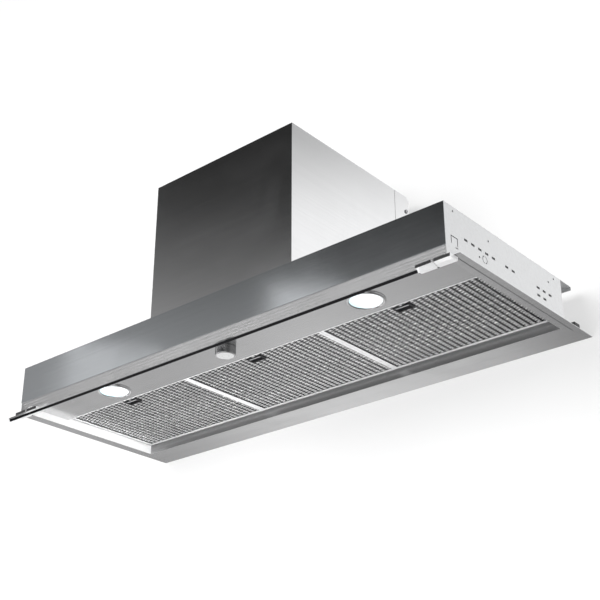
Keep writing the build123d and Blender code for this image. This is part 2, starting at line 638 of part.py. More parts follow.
for name, side in SIDES.items():
    for make in (side_panel, blower_side, visor_cheek, hinge_bracket):
        save(make(side), f"{make.__name__}_{name}")
    for make in (lamp_bezel, lamp_lens, lamp_housing):
        save(make(side * LAMP_X), f"{make.__name__}_{name}")

for name, side in {"front": -1, "rear": 1}.items():
    save(damper_flap(side), f"damper_flap_{name}")

for name, x in PLACES.items():
    for make in (filter_frame, filter_mesh, latch_pocket, filter_latch, latch_spring):
        save(make(x), f"{make.__name__}_{name}")
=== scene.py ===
"""Looks of a built-in range hood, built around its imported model.

Metres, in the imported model's own frame: +X to the right, +Y towards the wall, +Z up.
"""
import json
import logging
import math
from dataclasses import dataclass
from enum import Enum
from typing import Iterable, Sequence

import bmesh
import bpy
from mathutils import Matrix, Vector

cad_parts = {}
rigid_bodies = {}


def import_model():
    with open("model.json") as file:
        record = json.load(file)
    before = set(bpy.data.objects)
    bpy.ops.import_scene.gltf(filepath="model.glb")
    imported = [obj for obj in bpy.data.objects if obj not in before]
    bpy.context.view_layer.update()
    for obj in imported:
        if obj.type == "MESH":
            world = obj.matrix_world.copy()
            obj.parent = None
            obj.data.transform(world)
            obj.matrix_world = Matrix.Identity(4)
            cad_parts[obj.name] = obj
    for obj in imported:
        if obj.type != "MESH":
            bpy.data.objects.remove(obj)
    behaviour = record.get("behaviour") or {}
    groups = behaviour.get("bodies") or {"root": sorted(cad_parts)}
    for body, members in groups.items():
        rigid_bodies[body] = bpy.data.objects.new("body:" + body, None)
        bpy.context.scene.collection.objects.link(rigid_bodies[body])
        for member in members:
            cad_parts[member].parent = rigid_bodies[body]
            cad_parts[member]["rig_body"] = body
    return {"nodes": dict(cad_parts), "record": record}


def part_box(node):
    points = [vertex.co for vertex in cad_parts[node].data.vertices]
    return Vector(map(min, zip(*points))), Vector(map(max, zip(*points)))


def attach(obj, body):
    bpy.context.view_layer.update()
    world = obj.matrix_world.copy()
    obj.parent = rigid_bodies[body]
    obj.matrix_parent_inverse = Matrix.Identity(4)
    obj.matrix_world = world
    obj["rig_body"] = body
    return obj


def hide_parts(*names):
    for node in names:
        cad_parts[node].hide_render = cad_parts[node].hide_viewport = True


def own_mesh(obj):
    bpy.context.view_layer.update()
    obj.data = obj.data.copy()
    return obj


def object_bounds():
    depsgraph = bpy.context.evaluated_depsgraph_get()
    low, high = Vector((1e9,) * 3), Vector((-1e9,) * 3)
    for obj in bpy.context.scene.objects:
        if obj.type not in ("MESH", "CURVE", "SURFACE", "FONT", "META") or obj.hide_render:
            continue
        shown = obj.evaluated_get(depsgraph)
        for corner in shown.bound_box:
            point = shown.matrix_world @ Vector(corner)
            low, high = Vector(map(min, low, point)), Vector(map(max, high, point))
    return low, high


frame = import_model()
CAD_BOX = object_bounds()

LOG = logging.getLogger("range_hood")
NODE_SLOT: dict[str, str] = {
    part["node"]: part["material_slot"] for part in frame["record"]["subparts"]
}
Pair = tuple[float, float]
Point = tuple[float, float, float]
Colour = tuple[float, float, float]
Mesh = bmesh.types.BMesh
Material = bpy.types.Material
Node = bpy.types.Node
Socket = bpy.types.NodeSocket

WHITE = (1.0, 1.0, 1.0, 1.0)
ORIGIN: Point = (0.0, 0.0, 0.0)
WELD = 2e-6
FLAT_ANGLE = math.radians(0.4)
SHARP_ANGLE = math.radians(30.0)


# ---- meshes -------------------------------------------------------------------------------
def merged_copy(node: str) -> Mesh:
    """Copy a CAD node's mesh with its loose triangles joined and its flats made whole.

    Args:
        node: the CAD node's name.

    Returns:
        A bmesh of the same shape.
    """
    bm = bmesh.new()
    bm.from_mesh(frame["nodes"][node].data)
    bmesh.ops.remove_doubles(bm, verts=bm.verts[:], dist=WELD)
    bmesh.ops.dissolve_degenerate(bm, edges=bm.edges[:], dist=WELD)
    bmesh.ops.dissolve_limit(bm, angle_limit=FLAT_ANGLE, verts=bm.verts[:], edges=bm.edges[:])
    return bm


def round_edges(bm: Mesh, width: float, segments: int) -> None:
    """Bevel the sharp edges of a mesh in place.

    Args:
        bm: the mesh.
        width: the bevel's width in metres.
        segments: how many faces go round each edge.
    """
    sharp = [edge for edge in bm.edges
             if len(edge.link_faces) == 2 and edge.calc_face_angle(0.0) > SHARP_ANGLE]
    bmesh.ops.bevel(bm, geom=sharp, offset=width, offset_type="OFFSET", segments=segments,
                    profile=0.5, affect="EDGES", clamp_overlap=True, material=-1)


def turned(outline: Sequence[Pair], centre: Vector, steps: int, closed: bool = True) -> Mesh:
    """Spin an outline of radius and height about an upright axis.

    Args:
        outline: pairs of radius and height along the axis, in metres.
        centre: the point on the axis that heights are measured from.
        steps: faces round the piece.
        closed: whether the outline's ends are joined. An open one starts and ends on the axis.

    Returns:
        The turned mesh, facing outwards.
    """
    bm = bmesh.new()
    verts = [bm.verts.new((radius, 0.0, height)) for radius, height in outline]
    following = verts[1:] + verts[:1] if closed else verts[1:]
    edges = [bm.edges.new(pair) for pair in zip(verts, following)]
    bmesh.ops.spin(bm, geom=verts + edges, cent=ORIGIN, axis=(0, 0, 1), angle=math.tau,
                   steps=steps, use_merge=True)
    bmesh.ops.remove_doubles(bm, verts=bm.verts[:], dist=WELD / 2)
    bmesh.ops.recalc_face_normals(bm, faces=bm.faces[:])
    bmesh.ops.transform(bm, matrix=Matrix.Translation(centre), verts=bm.verts[:])
    return bm


def add_piece(name: str, bm: Mesh, node: str, materials: Sequence[Material],
              smooth: float = 35.0, flats_flat: bool = True) -> bpy.types.Object:
    """Turn a bmesh into a piece that stands for a CAD node and rides on its body.

    Args:
        name: the piece's name.
        bm: its mesh, which is freed.
        node: the CAD node that it replaces.
        materials: its materials, in slot order.
        smooth: edges flatter than this many degrees are shaded smooth.
        flats_flat: whether large faces keep their own normal beside rounded edges.

    Returns:
        The new object.
    """
    mesh = bpy.data.meshes.new(name)
    bm.to_mesh(mesh)
    bm.free()
    mesh.shade_smooth()
    mesh.set_sharp_from_angle(angle=math.radians(smooth))
    for material in materials:
        mesh.materials.append(material)
    piece = bpy.data.objects.new(name, mesh)
    bpy.context.scene.collection.objects.link(piece)
    if flats_flat:
        even = piece.modifiers.new("flat_faces", "WEIGHTED_NORMAL")
        even.keep_sharp = True
        even.weight = 100
    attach(piece, frame["nodes"][node]["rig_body"])
    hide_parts(node)
    LOG.info("%s: %d faces", name, len(mesh.polygons))
    return piece


# ---- node graphs --------------------------------------------------------------------------
class Graph:
    """A node tree with short calls for adding nodes and wiring them."""

    def __init__(self, tree: bpy.types.NodeTree) -> None:
        """Hold the tree that nodes are added to."""
        self.tree = tree

    def find(self, kind: str) -> Node:
        """Give the tree's own node of a type."""
        return next(node for node in self.tree.nodes if node.type == kind)

    def feed(self, node: Node, inputs: dict[str | int, object]) -> Node:
        """Set a node's inputs or wire them.

        Args:
            node: the node.
            inputs: input name or number to a value or to another node's output.

        Returns:
            The node.
        """
        for key, value in inputs.items():
            if isinstance(value, Socket):
                self.tree.links.new(value, node.inputs[key])
            else:
                node.inputs[key].default_value = value
        return node

    def add(self, kind: str, inputs: dict[str | int, object] | None = None,
            **settings: object) -> Node:
        """Add one node.

        Args:
            kind: the node's type without its ShaderNode prefix.
            inputs: input name or number to a value or to another node's output.
            settings: the node's own properties.

        Returns:
            The node.
        """
        node = self.tree.nodes.new(kind if kind.startswith("Node") else "ShaderNode" + kind)
        for key, value in settings.items():
            setattr(node, key, value)
        return self.feed(node, inputs or {})

    def math(self, operation: str, first: object, second: object = 0.0) -> Socket:
        """Add a Math node and give its output."""
        return self.add("Math", {0: first, 1: second}, operation=operation).outputs[0]

    def multiply(self, first: object, second: object) -> Socket:
        """Multiply two vectors and give the product."""
        return self.add("VectorMath", {0: first, 1: second}, operation="MULTIPLY").outputs[0]

    def blend(self, share: object, first: object, second: object, mode: str = "MIX") -> Socket:
        """Mix two colours by a share and give the colour."""
        inputs = {0: share, 6: first, 7: second}
        return self.add("Mix", inputs, data_type="RGBA", blend_type=mode).outputs[2]

    def remap(self, value: object, low: float, high: float, to_low: float = 0.0,
              to_high: float = 1.0) -> Socket:
        """Map a value from one range to another, clamped, and give the result."""
        inputs = {0: value, 1: low, 2: high, 3: to_low, 4: to_high}
        return self.add("MapRange", inputs, clamp=True).outputs["Result"]

    def ramp(self, value: object, stops: Sequence[Pair]) -> Socket:
        """Grey ramp over a value.

        Args:
            value: the value from 0 to 1.
            stops: pairs of place and grey.

        Returns:
            The ramp's colour.
        """
        node = self.add("ValToRGB", {"Fac": value})
        elements = node.color_ramp.elements
        while len(elements) < len(stops):
            elements.new(0.5)
        for element, (place, grey) in zip(elements, stops):
            element.position = place
            element.color = (grey, grey, grey, 1.0)
        return node.outputs["Color"]


def new_material(name: str) -> tuple[Material, Graph]:
    """Make a material with nodes.

    Args:
        name: its name.

    Returns:
        The material and its graph.
    """
    material = bpy.data.materials.new(name)
    material.use_nodes = True
    return material, Graph(material.node_tree)


def rgba(colour: Colour) -> tuple[float, float, float, float]:
    """Give a colour full alpha."""
    return (*colour, 1.0)


class Effect(Enum):
    """Shared surface effects, each a node group."""

    BRUSHED = "brushed_lines"
    HANDLING = "handling_marks"
    SPANGLE = "zinc_spangle"
    MOULDED = "moulded_skin"
    TURNED = "turning_lines"


class EffectGroups:
    """Builds each shared effect's node group once."""

    def __init__(self) -> None:
        """Make every group."""
        self.groups: dict[Effect, bpy.types.NodeTree] = {}
        self.brushed()
        self.handling()
        self.spangle()
        self.moulded()
        self.turning()

    def start(self, effect: Effect, inputs: Sequence[str],
              outputs: Sequence[str]) -> tuple[Graph, Node, Node]:
        """Open a new group.

        Args:
            effect: which effect it is.
            inputs: names of its vector inputs.
            outputs: names of its value outputs.

        Returns:
            The graph, its input node and its output node.
        """
        tree = bpy.data.node_groups.new(effect.value, "ShaderNodeTree")
        self.groups[effect] = tree
        for name in inputs:
            tree.interface.new_socket(name, in_out="INPUT", socket_type="NodeSocketVector")
        for name in outputs:
            tree.interface.new_socket(name, in_out="OUTPUT", socket_type="NodeSocketFloat")
        graph = Graph(tree)
        return graph, graph.add("NodeGroupInput"), graph.add("NodeGroupOutput")

    def brushed(self) -> None:
        """Fine lines along one direction, with broader streaks between them."""
        graph, source, result = self.start(Effect.BRUSHED, ("Vector", "Stretch"),
                                           ("Lines", "Streaks"))
        scaled = graph.multiply(source.outputs["Vector"], source.outputs["Stretch"])
        lines = graph.add("TexNoise", {"Vector": scaled, "Scale": 1.0, "Detail": 4.0,
                                       "Roughness": 0.65})
        broad = graph.multiply(scaled, (0.22, 0.22, 0.22))
        streaks = graph.add("TexNoise", {"Vector": broad, "Scale": 1.0, "Detail": 2.0,
                                         "Roughness": 0.5})
        graph.feed(result, {"Lines": lines.outputs["Fac"], "Streaks": streaks.outputs["Fac"]})

    def handling(self) -> None:
        """Faint smears and a thin film of dust."""
        graph, source, result = self.start(Effect.HANDLING, ("Vector",), ("Smears", "Dust"))
        place = source.outputs["Vector"]
        smears = graph.add("TexNoise", {"Vector": place, "Scale": 7.0, "Detail": 5.0,
                                        "Roughness": 0.6, "Distortion": 0.8})
        dust = graph.add("TexNoise", {"Vector": place, "Scale": 420.0, "Detail": 2.0})
        film = graph.remap(smears.outputs["Fac"], 0.4, 0.7)
        specks = graph.remap(dust.outputs["Fac"], 0.58, 0.75)
        graph.feed(result, {"Smears": film, "Dust": specks})

    def spangle(self) -> None:
        """Crystal patches of a zinc coat."""
        graph, source, result = self.start(Effect.SPANGLE, ("Vector",), ("Crystals", "Edges"))
        inputs = {"Vector": source.outputs["Vector"], "Scale": 170.0, "Randomness": 1.0}
        crystals = graph.add("TexVoronoi", inputs)
        tone = graph.add("SeparateColor", {"Color": crystals.outputs["Color"]}).outputs["Red"]
        edges = graph.add("TexVoronoi", inputs, feature="DISTANCE_TO_EDGE")
        rim = graph.remap(edges.outputs["Distance"], 0.0, 0.08)
        graph.feed(result, {"Crystals": tone, "Edges": rim})

    def moulded(self) -> None:
        """Fine spark-eroded skin of a moulded or painted piece."""
        graph, source, result = self.start(Effect.MOULDED, ("Vector",), ("Skin", "Tone"))
        place = source.outputs["Vector"]
        skin = graph.add("TexNoise", {"Vector": place, "Scale": 1500.0, "Detail": 3.0})
        tone = graph.add("TexNoise", {"Vector": place, "Scale": 38.0, "Detail": 3.0})
        graph.feed(result, {"Skin": skin.outputs["Fac"], "Tone": tone.outputs["Fac"]})

    def turning(self) -> None:
        """Rings about the local Z axis, as a lathe leaves them."""
        graph, source, result = self.start(Effect.TURNED, ("Vector",), ("Rings",))
        flat = graph.multiply(source.outputs["Vector"], (1.0, 1.0, 0.0))
        radius = graph.add("VectorMath", {0: flat}, operation="LENGTH").outputs["Value"]
        rings = graph.add("TexNoise", {"W": graph.math("MULTIPLY", radius, 2600.0),
                                       "Scale": 1.0, "Detail": 3.0}, noise_dimensions="1D")
        graph.feed(result, {"Rings": rings.outputs["Fac"]})

    def use(self, graph: Graph, effect: Effect, vector: Socket,
            stretch: Sequence[float] | None = None) -> Node:
        """Place an effect in a material.

        Args:
            graph: the material's graph.
            effect: which effect.
            vector: where its pattern is read.
            stretch: the brushed lines' scale along each axis.

        Returns:
            The group node.
        """
        node = graph.add("Group", node_tree=self.groups[effect])
        graph.tree.links.new(vector, node.inputs["Vector"])
        if stretch is not None:
            node.inputs["Stretch"].default_value = tuple(stretch)
        return node


EFFECTS = EffectGroups()


class Finish:
    """Base of the finishes: opens a material with its coordinates and its Principled shader."""

    name: str

    def open(self, centre: Point = ORIGIN) -> tuple[Material, Graph, Socket, Node]:
        """Open a material.

        Args:
            centre: the point that patterns are centred on.

        Returns:
            The material, its graph, the pattern's coordinates and the Principled node.
        """
        material, graph = new_material(self.name)
        place = graph.add("Mapping", {"Vector": graph.add("TexCoord").outputs["Object"],
                                      "Location": tuple(-c for c in centre)}).outputs[0]
        return material, graph, place, graph.find("BSDF_PRINCIPLED")

    @staticmethod
    def relief(graph: Graph, height: Socket, strength: float, distance: float) -> Socket:
        """Turn a height from 0 to 1 into a normal, where 1 stands for a distance in metres."""
        inputs = {"Height": height, "Strength": strength, "Distance": distance}
        return graph.add("Bump", inputs).outputs[0]


class GrainRun(Enum):
    """How brushed lines run over a piece: the lines' scale along each axis."""

    ROUND_THE_SHEET = (2.5, 2.5, 1400.0)
    ALONG_WIDTH = (2.5, 1400.0, 1400.0)


@dataclass(frozen=True)
class BrushedSteel(Finish):
    """Stainless steel brushed in one direction."""

    name: str
    light: Colour
    dark: Colour
    roughness: Pair
    run: GrainRun = GrainRun.ROUND_THE_SHEET
    depth: float = 8e-6
    metallic: float = 1.0
    smear: float = 0.05

    def build(self) -> Material:
        """Make the material.

        Returns:
            The material.
        """
        material, graph, place, shader = self.open()
        grain = EFFECTS.use(graph, Effect.BRUSHED, place, self.run.value)
        marks = EFFECTS.use(graph, Effect.HANDLING, place)
        tone = graph.remap(grain.outputs["Streaks"], 0.32, 0.68)
        rough = graph.remap(grain.outputs["Lines"], 0.3, 0.7, *self.roughness)
        smears = graph.math("MULTIPLY", marks.outputs["Smears"], self.smear)
        graph.feed(shader, {
            "Base Color": graph.blend(tone, rgba(self.dark), rgba(self.light)),
            "Roughness": graph.math("ADD", rough, smears),
            "Metallic": self.metallic,
            "Normal": self.relief(graph, grain.outputs["Lines"], 0.5, self.depth),
        })
        return material


@dataclass(frozen=True)
class ZincSheet(Finish):
    """Galvanised sheet with faint crystals."""

    name: str
    light: Colour
    dark: Colour
    dust_tone: Colour = (0.6, 0.6, 0.6)
    roughness: float = 0.36
    depth: float = 2e-5
    metallic: float = 0.85

    def build(self) -> Material:
        """Make the material.

        Returns:
            The material.
        """
        material, graph, place, shader = self.open()
        spangle = EFFECTS.use(graph, Effect.SPANGLE, place)
        crystals = spangle.outputs["Crystals"]
        marks = EFFECTS.use(graph, Effect.HANDLING, place)
        colour = graph.blend(crystals, rgba(self.dark), rgba(self.light))
        dust = graph.math("MULTIPLY", marks.outputs["Dust"], 0.25)
        graph.feed(shader, {
            "Base Color": graph.blend(dust, colour, rgba(self.dust_tone)),
            "Roughness": graph.math("ADD", graph.math("MULTIPLY", crystals, 0.12), self.roughness),
            "Metallic": self.metallic,
            "Normal": self.relief(graph, spangle.outputs["Edges"], 0.15, self.depth),
        })
        return material


@dataclass(frozen=True)
class Metal(Finish):
    """Aluminium or plated steel, satin to polished, with tool or die lines."""

    name: str
    light: Colour
    dark: Colour
    roughness: Pair
    metallic: float = 1.0
    depth: float = 1e-5
    fineness: float = 0.6

    def build(self) -> Material:
        """Make the material.

        Returns:
            The material.
        """
        material, graph, place, shader = self.open()
        stretch = tuple(scale * self.fineness for scale in GrainRun.ALONG_WIDTH.value)
        grain = EFFECTS.use(graph, Effect.BRUSHED, place, stretch)
        marks = EFFECTS.use(graph, Effect.HANDLING, place)
        graph.feed(shader, {
            "Base Color": graph.blend(marks.outputs["Smears"], rgba(self.light), rgba(self.dark)),
            "Roughness": graph.remap(grain.outputs["Streaks"], 0.3, 0.7, *self.roughness),
            "Metallic": self.metallic,
            "Normal": self.relief(graph, grain.outputs["Lines"], 0.4, self.depth),
        })
        return material


@dataclass(frozen=True)
class TurnedMetal(Finish):
    """Metal faced on a lathe, with rings about its own axis."""

    name: str
    light: Colour
    dark: Colour
    roughness: Pair
    centre: Point
    metallic: float = 0.78
    depth: float = 1e-5

    def build(self) -> Material:
        """Make the material.

        Returns:
            The material.
        """
        material, graph, place, shader = self.open(self.centre)
        rings = EFFECTS.use(graph, Effect.TURNED, place).outputs["Rings"]
        graph.feed(shader, {
            "Base Color": graph.blend(rings, rgba(self.dark), rgba(self.light)),
            "Roughness": graph.remap(rings, 0.3, 0.7, *self.roughness),
            "Metallic": self.metallic,
            "Normal": self.relief(graph, rings, 0.4, self.depth),
        })
        return material


@dataclass(frozen=True)
class Moulded(Finish):
    """Plastic or paint with a fine skin."""

    name: str
    light: Colour
    dark: Colour
    roughness: Pair
    depth: float = 3e-5
    coat: float = 0.0
    gloss: float = 0.5
    dust: float = 0.12
    dust_tone: Colour = (0.4, 0.4, 0.4)

    def build(self) -> Material:
        """Make the material.

        Returns:
            The material.
        """
        material, graph, place, shader = self.open()
        skin = EFFECTS.use(graph, Effect.MOULDED, place)
        marks = EFFECTS.use(graph, Effect.HANDLING, place)
        colour = graph.blend(skin.outputs["Tone"], rgba(self.dark), rgba(self.light))
        dust = graph.math("MULTIPLY", marks.outputs["Dust"], self.dust)
        graph.feed(shader, {
            "Base Color": graph.blend(dust, colour, rgba(self.dust_tone)),
            "Roughness": graph.remap(skin.outputs["Skin"], 0.35, 0.65, *self.roughness),
            "Coat Weight": self.coat,
            "Specular IOR Level": self.gloss,
            "Normal": self.relief(graph, skin.outputs["Skin"], 0.35, self.depth),
        })
        return material


@dataclass(frozen=True)
class LitLens(Finish):
    """Frosted lamp glass that glows, whiter in the middle, with painted shade that turns it darker
    and blue-green towards its left side.
    """

    name: str
    centre: Point
    radius: float
    middle: Colour = (1.0, 1.0, 1.0)
    # darker blue-green tint of the painted shade on the left side
    edge: Colour = (0.50, 0.82, 0.90)
    unlit: Colour = (0.05, 0.05, 0.05)
    power: float = 0.95
    depth: float = 5e-5

    def build(self) -> Material:
        """Make the material.

        Returns:
            The material.
        """
        material, graph, place, shader = self.open(self.centre)
        rings = EFFECTS.use(graph, Effect.TURNED, place).outputs["Rings"]
        side = graph.add("SeparateXYZ", {0: place}).outputs["X"]
        # The glow leans darker and blue-green towards the left side: painted shade.
        painted_shade_share = graph.remap(side, -self.radius, self.radius * 0.2, 0.6, 0.0)
        share = graph.math("ADD", painted_shade_share, graph.math("MULTIPLY", rings, 0.3))
        glow = graph.blend(share, rgba(self.middle), rgba(self.edge))
        graph.feed(shader, {
            "Base Color": graph.blend(0.75, glow, rgba(self.unlit)),
            "Roughness": graph.remap(rings, 0.2, 0.8, 0.3, 0.5),
            "Emission Color": glow,
            "Emission Strength": self.power,
            "Normal": self.relief(graph, rings, 0.4, self.depth),
        })
        return material


FINISHES: dict[str, Finish] = {
    "dark_front": BrushedSteel(
        "dark_brushed_steel", (0.57, 0.59, 0.61), (0.545, 0.565, 0.585), (0.10, 0.14), depth=5e-6),
    "tower_steel": BrushedSteel(
        "tower_brushed_steel", (0.735, 0.735, 0.74), (0.715, 0.715, 0.72), (0.11, 0.15),
        depth=2e-6),
    "panel_steel": BrushedSteel(
        "panel_brushed_steel", (0.66, 0.66, 0.665), (0.63, 0.63, 0.635), (0.17, 0.24),
        GrainRun.ALONG_WIDTH),
    "rim_steel": BrushedSteel(
        "rim_brushed_steel", (0.70, 0.70, 0.705), (0.66, 0.66, 0.665), (0.15, 0.22),
        GrainRun.ALONG_WIDTH),
    # Lighter and darker copies of the rim steel for the rim's inner walls: painted highlight on the
    # end walls, painted shade on the front and rear walls.
    "end_wall_painted_highlight": BrushedSteel(
        "rim_end_wall_painted_highlight", (0.95, 0.95, 0.95), (0.92, 0.92, 0.92), (0.30, 0.42),
        GrainRun.ALONG_WIDTH, metallic=0.2),
    "long_wall_painted_shade": BrushedSteel(
        "rim_long_wall_painted_shade", (0.36, 0.36, 0.365), (0.31, 0.31, 0.315), (0.26, 0.36),
        GrainRun.ALONG_WIDTH, metallic=0.7),
    "galvanised": ZincSheet("galvanised_sheet", (0.80, 0.805, 0.81), (0.72, 0.725, 0.73)),
    "profile_alu": Metal(
        "anodised_profile", (0.90, 0.90, 0.905), (0.84, 0.84, 0.845), (0.18, 0.26), 0.9),
    "bracket_alu": Metal(
        "anodised_fittings", (0.86, 0.86, 0.865), (0.80, 0.80, 0.805), (0.30, 0.42), 0.5),
    "filter_alu": Metal(
        "filter_aluminium", (0.92, 0.92, 0.925), (0.84, 0.84, 0.845), (0.28, 0.42), 0.5),
    "mesh_alu": Metal(
        "mesh_aluminium", (0.98, 0.98, 0.98), (0.92, 0.92, 0.925), (0.20, 0.30), 0.65),
    # A darker copy of the mesh aluminium: painted shade on the strands' middles.
    "strand_middle_painted_shade": Metal(
        "aluminium_strands_painted_shade", (0.17, 0.17, 0.175), (0.12, 0.12, 0.125), (0.20, 0.30)),
    # A near-black copy of the mesh aluminium: painted shade on the inner layer.
    "inner_layer_painted_shade": Metal(
        "inner_mesh_aluminium_painted_shade", (0.05, 0.05, 0.052), (0.03, 0.03, 0.032), (0.4, 0.55)),
    "latch_black": Moulded(
        "latch_cup_plastic", (0.035, 0.035, 0.037), (0.022, 0.022, 0.024), (0.38, 0.52)),
    "latch_grip": Moulded(
        "latch_grip_plastic", (0.30, 0.30, 0.31), (0.24, 0.24, 0.25), (0.35, 0.5)),
    "lamp_rim": Metal("polished_lamp_rim", (0.86, 0.86, 0.87), (0.80, 0.80, 0.81), (0.06, 0.12)),
    "lamp_can": Metal("cast_lamp_can", (0.62, 0.62, 0.63), (0.50, 0.50, 0.51), (0.42, 0.55)),
    "knob_metal": Metal(
        "polished_knob_side", (0.72, 0.72, 0.725), (0.66, 0.66, 0.665), (0.05, 0.10)),
    "visor_glass": Moulded(
        "black_enamelled_glass", (0.004, 0.004, 0.005), (0.002, 0.002, 0.003), (0.10, 0.16),
        depth=2e-6, gloss=0.15, dust=0.01),
    "black_plastic": Moulded(
        "black_moulded_plastic", (0.030, 0.030, 0.031), (0.020, 0.020, 0.021), (0.42, 0.58)),
    "grey_plastic": Moulded(
        "grey_moulded_plastic", (0.36, 0.36, 0.37), (0.30, 0.30, 0.31), (0.45, 0.6)),
    "fan_plastic": Moulded(
        "fan_wheel_plastic", (0.09, 0.09, 0.10), (0.06, 0.06, 0.065), (0.4, 0.55)),
    "screw_steel": Metal("zinc_plated_steel", (0.66, 0.66, 0.67), (0.54, 0.54, 0.55), (0.22, 0.36)),
    "spring_steel": Metal("spring_steel", (0.60, 0.60, 0.61), (0.50, 0.50, 0.51), (0.20, 0.30)),
    "motor_paint": Moulded(
        "motor_paint", (0.055, 0.055, 0.06), (0.035, 0.035, 0.04), (0.32, 0.45), depth=2e-5,
        coat=0.2),
}


class Palette:
    """Holds one built material for each finish."""

    def __init__(self) -> None:
        """Build every finish."""
        self.materials = {slot: finish.build() for slot, finish in FINISHES.items()}

    def of(self, *slots: str) -> list[Material]:
        """Give the materials of some slots."""
        return [self.materials[slot] for slot in slots]

    def dress(self, nodes: Iterable[str]) -> None:
        """Give CAD nodes their materials and leave their shapes.

        Args:
            nodes: the nodes' names.
        """
        for name in nodes:
            node = frame["nodes"][name]
            if not node.material_slots:
                node.data.materials.append(None)
            for place in node.material_slots:
                place.material = self.materials[NODE_SLOT[name]]
            LOG.info("%s: dressed", name)


# ---- sub-assemblies -----------------------------------------------------------------------
@dataclass
class Folded:
    """Sheets and mouldings shown as their CAD shape with rounded edges."""

    palette: Palette
    edges: dict[str, float]
    segments: int = 2
    facing: float = 0.7
    level: float = 0.3

    def build(self) -> None:
        """Replace each node with a copy whose edges are rounded."""
        for node, width in self.edges.items():
            bm = merged_copy(node)
            round_edges(bm, width, self.segments)
            slots = [NODE_SLOT[node]]
            # The rim's inner walls take painted light: a highlight on the end walls, shade on the
            # front and rear walls.
            if node == "rim_frame":
                self.paint_rim_wall_light(bm)
                slots += ["end_wall_painted_highlight", "long_wall_painted_shade"]
            # The bracket's front faces take the black plastic: painted shade standing in for the
            # dark gap above its bright strip.
            if node.startswith("hinge_bracket"):
                for face in bm.faces:
                    face.material_index = int(face.normal.y < -self.facing)
                slots.append("black_plastic")
            add_piece(f"{node}_finished", bm, node, self.palette.of(*slots))

    def paint_rim_wall_light(self, bm: Mesh) -> None:
        """Paint light and shade on the walls round the rim's opening: a painted highlight on the
        end walls, painted shade on the front and rear walls.

        Args:
            bm: the rim's mesh.
        """
        low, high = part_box("rim_frame")
        middle = (low + high) / 2
        for face in bm.faces:
            normal, inwards = face.normal, middle - face.calc_center_median()
            if abs(normal.z) > self.level:
                continue
            if abs(normal.x) > self.facing and normal.x * inwards.x > 0.0:
                face.material_index = 1
            elif abs(normal.y) > self.facing and normal.y * inwards.y > 0.0:
                face.material_index = 2


@dataclass
class LampHead:
    """One recessed lamp: its rim and its glass."""

    palette: Palette
    side: str
    steps: int = 96
    facets: int = 12
    clearance: float = 0.00002
    flange: float = 0.003
    ridges: int = 9
    ridge: float = 0.00018
    ridge_foot: float = 0.0003
    flat_share: float = 0.42
    border: float = 0.0015
    bevel: float = 0.0004
    bevel_foot: float = 0.0001

    def build(self) -> None:
        """Make both pieces."""
        node = f"lamp_bezel_{self.side}"
        low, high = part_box(node)
        glass_low, glass_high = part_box(f"lamp_lens_{self.side}")
        centre = Vector(((low.x + high.x) / 2, (low.y + high.y) / 2, 0.0))
        glass_radius = (glass_high.x - glass_low.x) / 2
        rim, bore = (high.x - low.x) / 2, glass_radius + self.clearance
        sleeve, panel = rim - self.flange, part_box("light_panel")[0].z
        outline = [(bore, high.z), (sleeve, high.z), (sleeve, panel), (rim, panel)]
        middle, half = (rim + bore) / 2, (rim - bore) / 2
        for step in range(1, self.facets):
            angle = math.pi * step / self.facets
            drop = (panel - low.z) * math.sin(angle)
            outline.append((middle + half * math.cos(angle), panel - drop))
        outline.append((bore, panel))
        bm = turned(outline, centre, self.steps)
        add_piece(f"lamp_rim_{self.side}", bm, node, self.palette.of(NODE_SLOT[node]))
        self.glass(centre, glass_low.z, glass_high.z, glass_radius)

    def glass(self, centre: Vector, bottom: float, top: float, radius: float) -> None:
        """Make the ridged glass disc.

        Args:
            centre: the lamp's axis.
            bottom: height of its lower face.
            top: height of its upper face.
            radius: its outer radius.
        """
        flat, foot = radius * self.flat_share, bottom + self.ridge_foot
        outline = [(0.0, foot), (flat, foot)]
        pitch = (radius - self.border - flat) / self.ridges
        for number in range(self.ridges):
            start = flat + number * pitch
            outline += [(start + pitch / 2, foot - self.ridge), (start + pitch, foot)]
        lowest = bottom + self.bevel_foot
        outline += [(radius - self.bevel, lowest), (radius, lowest + self.bevel), (radius, top),
                    (0.0, top)]
        bm = turned(outline, centre, self.steps, closed=False)
        lens = LitLens(f"lit_glass_{self.side}", (centre.x, centre.y, bottom), radius).build()
        add_piece(f"lamp_glass_{self.side}", bm, f"lamp_lens_{self.side}", [lens])


@dataclass
class ControlKnob:
    """The knob: polished side, satin turned face."""

    palette: Palette
    rim: float = 0.0016
    recess: float = 0.0003

    def build(self) -> None:
        """Make the knob from its CAD shape with a sunk face."""
        low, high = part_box("control_knob")
        bm = merged_copy("control_knob")
        downwards = [face for face in bm.faces if face.normal.z < -0.99]
        face = min(downwards, key=lambda one: one.calc_center_median().z)
        bmesh.ops.inset_region(bm, faces=[face], thickness=self.rim, depth=0.0)
        bmesh.ops.inset_region(bm, faces=[face], thickness=self.recess, depth=-self.recess)
        face.material_index = 1
        middle = ((low.x + high.x) / 2, (low.y + high.y) / 2, low.z)
        satin = TurnedMetal("satin_knob_face", (0.98, 0.98, 0.98), (0.92, 0.92, 0.925),
                            (0.26, 0.4), middle).build()
        materials = self.palette.of("knob_metal") + [satin]
        add_piece("control_knob_finished", bm, "control_knob", materials)


